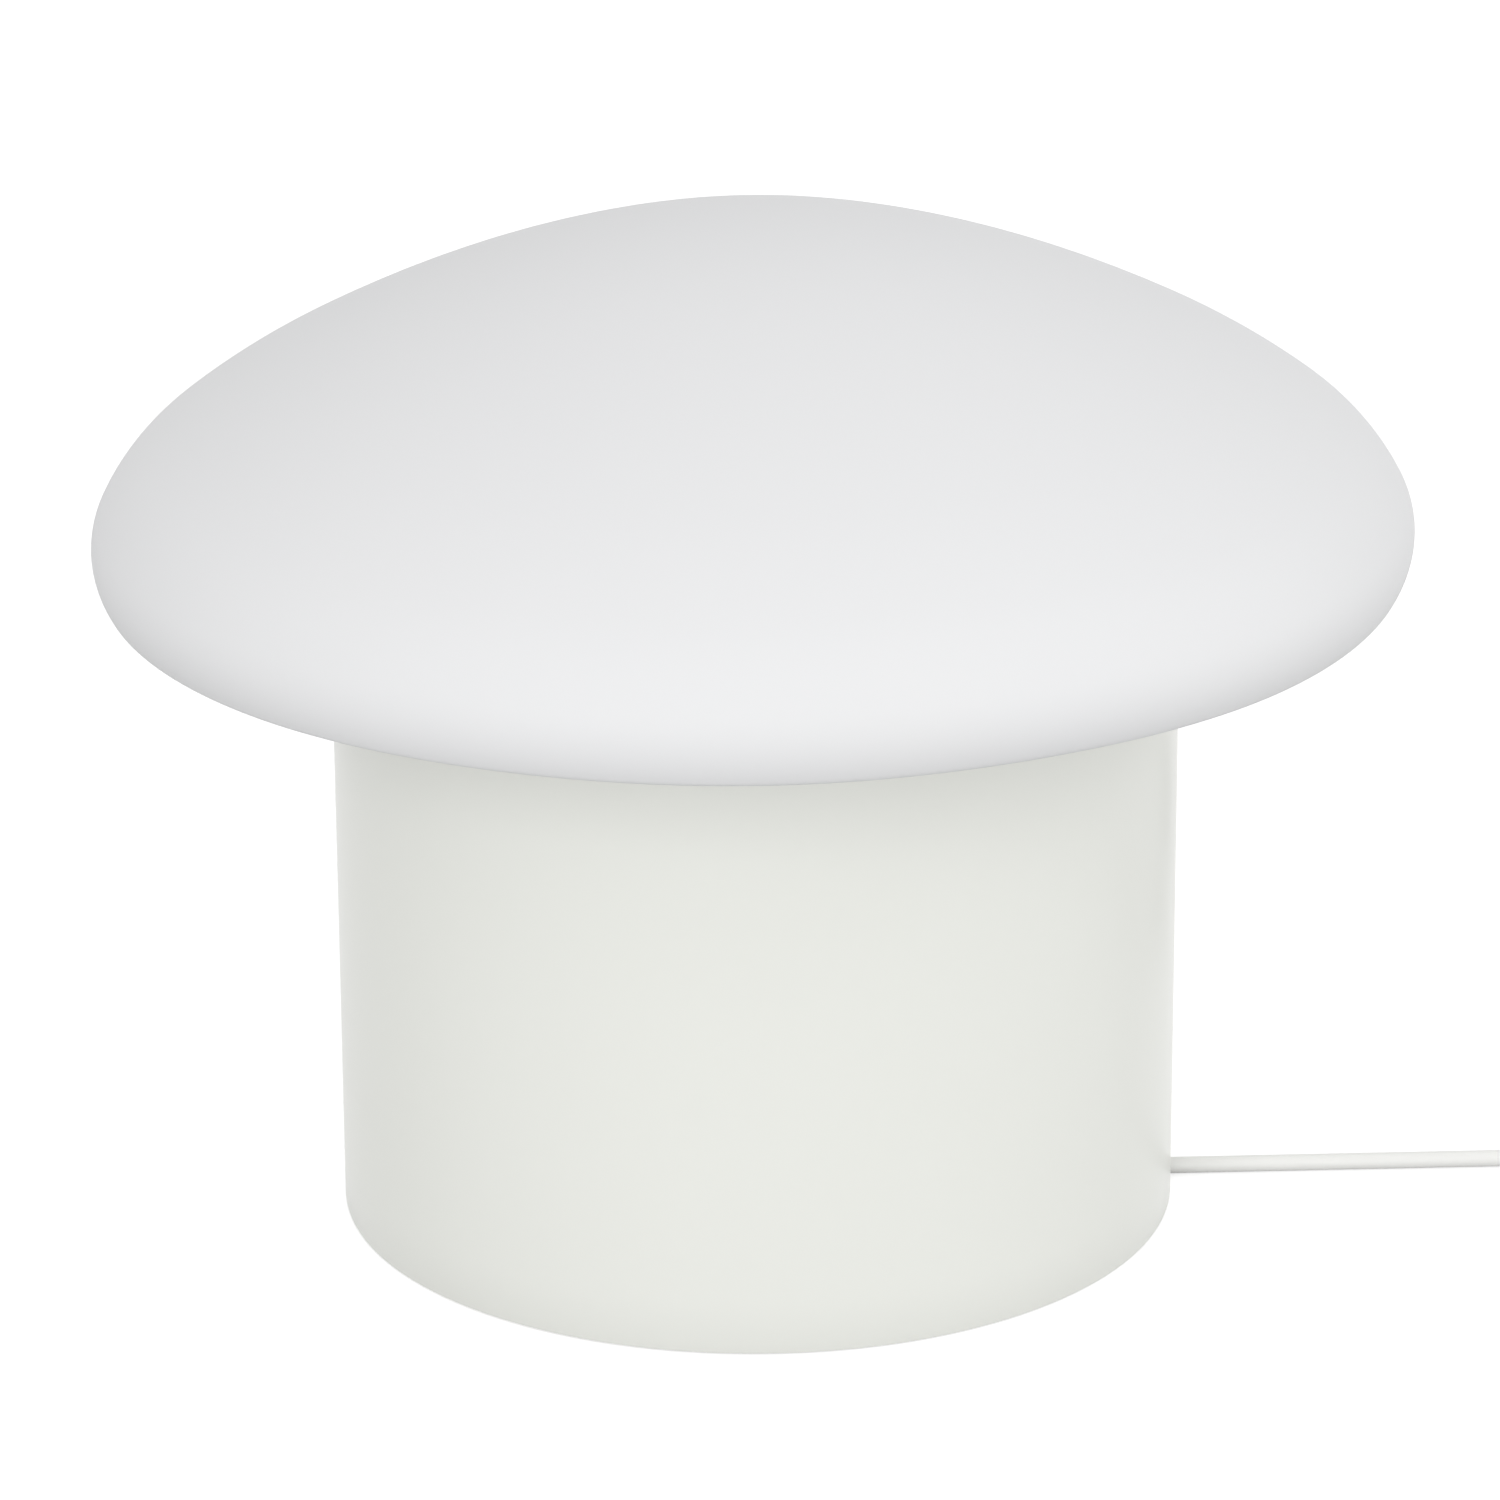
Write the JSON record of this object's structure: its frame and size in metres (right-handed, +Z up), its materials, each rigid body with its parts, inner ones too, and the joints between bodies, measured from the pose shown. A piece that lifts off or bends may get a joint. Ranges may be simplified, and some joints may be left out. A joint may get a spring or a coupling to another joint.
{
  "type": "table lamp",
  "caption": "Mushroom table lamp: an opal glass dome resting on a painted steel drum, with lampholder, bulb, flex, in-line rocker switch and flat two-pin plug.",
  "frame": {"origin": "on the table, under the centre of the drum", "axes": "+Z up; +X the way the flex leaves the drum; -Y the side seen in the picture"},
  "size_m": [0.5091, 0.4413, 0.2771],
  "materials": {
    "drum_paint": "satin off-white enamel",
    "zinc_steel": "bright zinc plate",
    "cast_weight": "black stove paint on a casting",
    "black_rubber": "matt",
    "white_rubber": "matt",
    "silicone": "matt, slightly see-through white",
    "opal_glass": "satin-etched opal, dense white",
    "holder_plastic": "fine matt moulding",
    "insert_ceramic": "unglazed",
    "contact_brass": "bright",
    "bulb_metal": "satin",
    "bulb_insulation": "gloss",
    "bulb_plastic": "satin",
    "bulb_opal": "frosted",
    "grip_plastic": "matt",
    "flex_plastic": "soft satin",
    "core_plastic": "satin",
    "switch_plastic": "satin",
    "plug_plastic": "satin",
    "pin_metal": "nickel plate",
    "sleeve_plastic": "satin"
  },
  "bodies": {
    "lamp": {"drum": "drum_paint", "drum_tabs": "drum_paint", "drum_screws": "zinc_steel", "weight": "cast_weight", "feet": "black_rubber", "seat_ring": "silicone", "bracket": "zinc_steel", "bracket_screws": "zinc_steel", "nipple": "zinc_steel", "nipple_washer": "zinc_steel", "nipple_nut": "zinc_steel", "holder_cap": "holder_plastic", "holder_shell": "holder_plastic", "holder_insert": "insert_ceramic", "screw_shell": "contact_brass", "centre_contact": "contact_brass", "terminal_screws": "contact_brass", "cord_bush": "white_rubber", "cord_grip": "grip_plastic", "grip_screws": "zinc_steel", "flex_inside": "flex_plastic", "flex_cores": "core_plastic", "flex_lead": "flex_plastic", "switch_base": "switch_plastic", "switch_cover": "switch_plastic", "switch_screws": "zinc_steel", "switch_contacts": "contact_brass", "flex_link": "flex_plastic", "flex_coil": "flex_plastic", "flex_tail": "flex_plastic", "plug_body": "plug_plastic", "plug_pins": "pin_metal", "pin_sleeves": "sleeve_plastic"},
    "shade": {"glass_shade": "opal_glass"},
    "bulb_carrier": {"bulb_tip": "bulb_metal"},
    "bulb": {"bulb_cap": "bulb_metal", "bulb_insulator": "bulb_insulation", "bulb_housing": "bulb_plastic", "bulb_globe": "bulb_opal"},
    "rocker": {"switch_rocker": "switch_plastic"}
  },
  "joints": [
    {"name": "shade_lift", "type": "slide", "parent": "lamp", "child": "shade", "axis": [0, 0, 1], "range_m": [0, 0.09]},
    {"name": "bulb_travel", "type": "slide", "parent": "lamp", "child": "bulb_carrier", "axis": [0, 0, 1], "range_m": [0, 0.0185]},
    {"name": "bulb_turn", "type": "hinge", "parent": "bulb_carrier", "child": "bulb", "pos_m": [0, 0, 0.13], "axis": [0, 0, 1], "range_deg": [0, 1800]},
    {"name": "rocker_tip", "type": "hinge", "parent": "lamp", "child": "rocker", "pos_m": [0.253, 0.143, 0.012], "axis": [1, 0, 0], "range_deg": [0, 14]}
  ],
  "couplings": [
    {"joint": "bulb_travel", "follows": "bulb_turn", "m_per_rad": 0.00057751}
  ]
}
